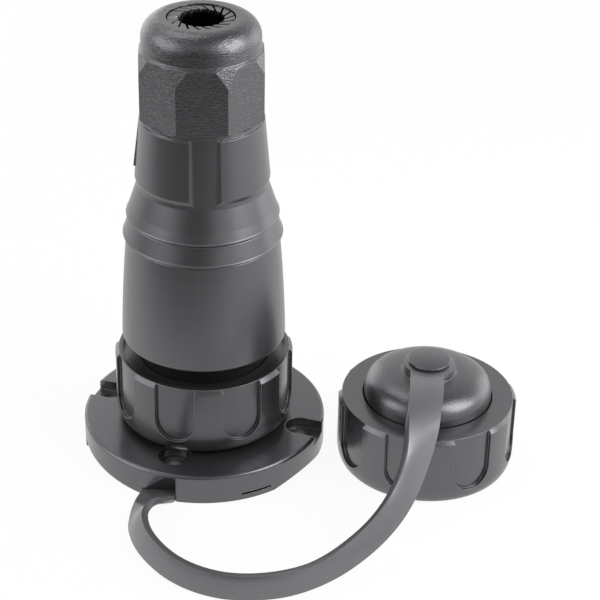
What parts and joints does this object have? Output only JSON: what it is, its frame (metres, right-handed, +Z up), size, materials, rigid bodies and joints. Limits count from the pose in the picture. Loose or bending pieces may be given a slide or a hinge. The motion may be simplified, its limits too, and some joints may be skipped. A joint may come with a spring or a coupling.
{
  "type": "waterproof multi-pin connector",
  "caption": "Waterproof circular connector: round deck socket, tapered cable plug with screw ring and gland nut, and a domed screw cap on a moulded strap.",
  "frame": {"origin": "centre of the flange's underside, midway between its two screw holes", "axes": "+Z up along the plug's axis, +Y through the rear screw hole, +X towards the cap"},
  "size_m": [0.1065, 0.0921, 0.1123],
  "materials": {
    "socket_plastic": "fine satin moulding",
    "strap_plastic": "soft satin moulding",
    "ring_plastic": "fine satin moulding",
    "body_plastic": "fine satin moulding",
    "nut_plastic": "grained moulding",
    "cap_plastic": "fine satin moulding",
    "cage_plastic": "plain moulding",
    "seal_rubber": "plain rubber",
    "insulator": "plain moulding",
    "contact_brass": "turned",
    "steel": "plain",
    "nylon": "plain"
  },
  "bodies": {
    "deck_socket": {"socket_flange": "socket_plastic", "base_gasket": "seal_rubber", "socket_insert": "insulator", "contact_pins": "contact_brass", "insert_retainer": "steel", "strap": "strap_plastic"},
    "plug": {"plug_nose": "socket_plastic", "face_seal": "seal_rubber", "plug_insert": "insulator", "contact_sockets": "contact_brass", "terminal_screws": "steel", "nose_clip": "steel", "body_o_ring": "seal_rubber", "plug_body": "body_plastic", "cable_seal": "seal_rubber"},
    "thrust_washer": {"slip_washer": "nylon"},
    "ring": {"coupling_ring": "ring_plastic"},
    "cage": {"clamp_cage": "cage_plastic"},
    "nut": {"gland_nut": "nut_plastic"},
    "cap": {"cap_dome": "cap_plastic", "cap_seal": "seal_rubber", "cap_button": "cap_plastic"},
    "cap_screw_ring": {"cap_ring": "ring_plastic"}
  },
  "joints": [
    {"name": "plug_pull", "type": "slide", "parent": "deck_socket", "child": "plug", "axis": [0, 0, 1], "range_m": [0, 0.03]},
    {"name": "ring_lift", "type": "slide", "parent": "plug", "child": "thrust_washer", "axis": [0, 0, 1], "range_m": [0, 0.0034]},
    {"name": "ring_turn", "type": "hinge", "parent": "thrust_washer", "child": "ring", "pos_m": [0, 0, 0.0174], "axis": [0, 0, 1], "range_deg": [0, 400]},
    {"name": "nut_lift", "type": "slide", "parent": "plug", "child": "cage", "axis": [0, 0, 1], "range_m": [0, 0.0081]},
    {"name": "nut_turn", "type": "hinge", "parent": "cage", "child": "nut", "pos_m": [0, 0, 0.1], "axis": [0, 0, 1], "range_deg": [0, 1440]},
    {"name": "cap_swivel", "type": "hinge", "parent": "deck_socket", "child": "cap", "pos_m": [0.05475, 0.0093, 0.0263], "axis": [0, 0, 1], "continuous": true},
    {"name": "cap_ring_turn", "type": "hinge", "parent": "cap", "child": "cap_screw_ring", "pos_m": [0.05475, 0.0093, 0.0089], "axis": [0, 0, 1], "continuous": true}
  ],
  "couplings": [
    {"joint": "ring_lift", "follows": "ring_turn", "m_per_rad": 0.00047746},
    {"joint": "nut_lift", "follows": "nut_turn", "m_per_rad": 0.00031831}
  ]
}
